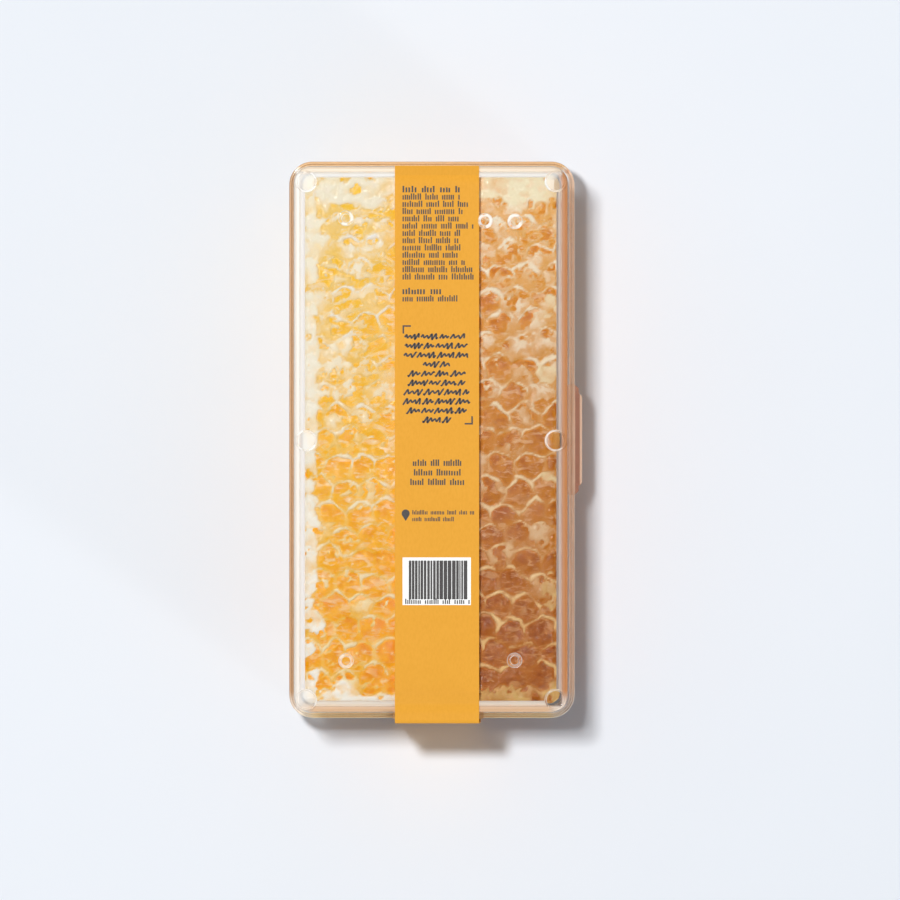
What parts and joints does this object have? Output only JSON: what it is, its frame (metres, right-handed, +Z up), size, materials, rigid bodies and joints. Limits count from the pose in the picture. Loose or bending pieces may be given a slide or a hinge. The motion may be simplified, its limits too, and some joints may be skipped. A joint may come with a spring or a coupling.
{
  "type": "honeycomb piece in a shut clear box",
  "caption": "Cut honeycomb in a shut clear plastic box with a stacking ridge, a thumb tab and a paper label strip folded round its end.",
  "frame": {"origin": "on the label strip's lower run, which is level with the lid's pads and rests with them, under the centre of the box", "axes": "+Z up, out of the tray's flat side; +Y along the box, away from the label's fold; +X towards the thumb tab"},
  "size_m": [0.0568, 0.1093, 0.0312],
  "materials": {
    "clear_plastic": "clear moulded plastic, polished",
    "honeycomb": "beeswax wet with honey",
    "paper": "smooth uncoated label paper"
  },
  "bodies": {
    "root": {"box_tray": "clear_plastic", "box_lid": "clear_plastic", "honeycomb": "honeycomb", "label_strip": "paper"}
  },
  "joints": []
}
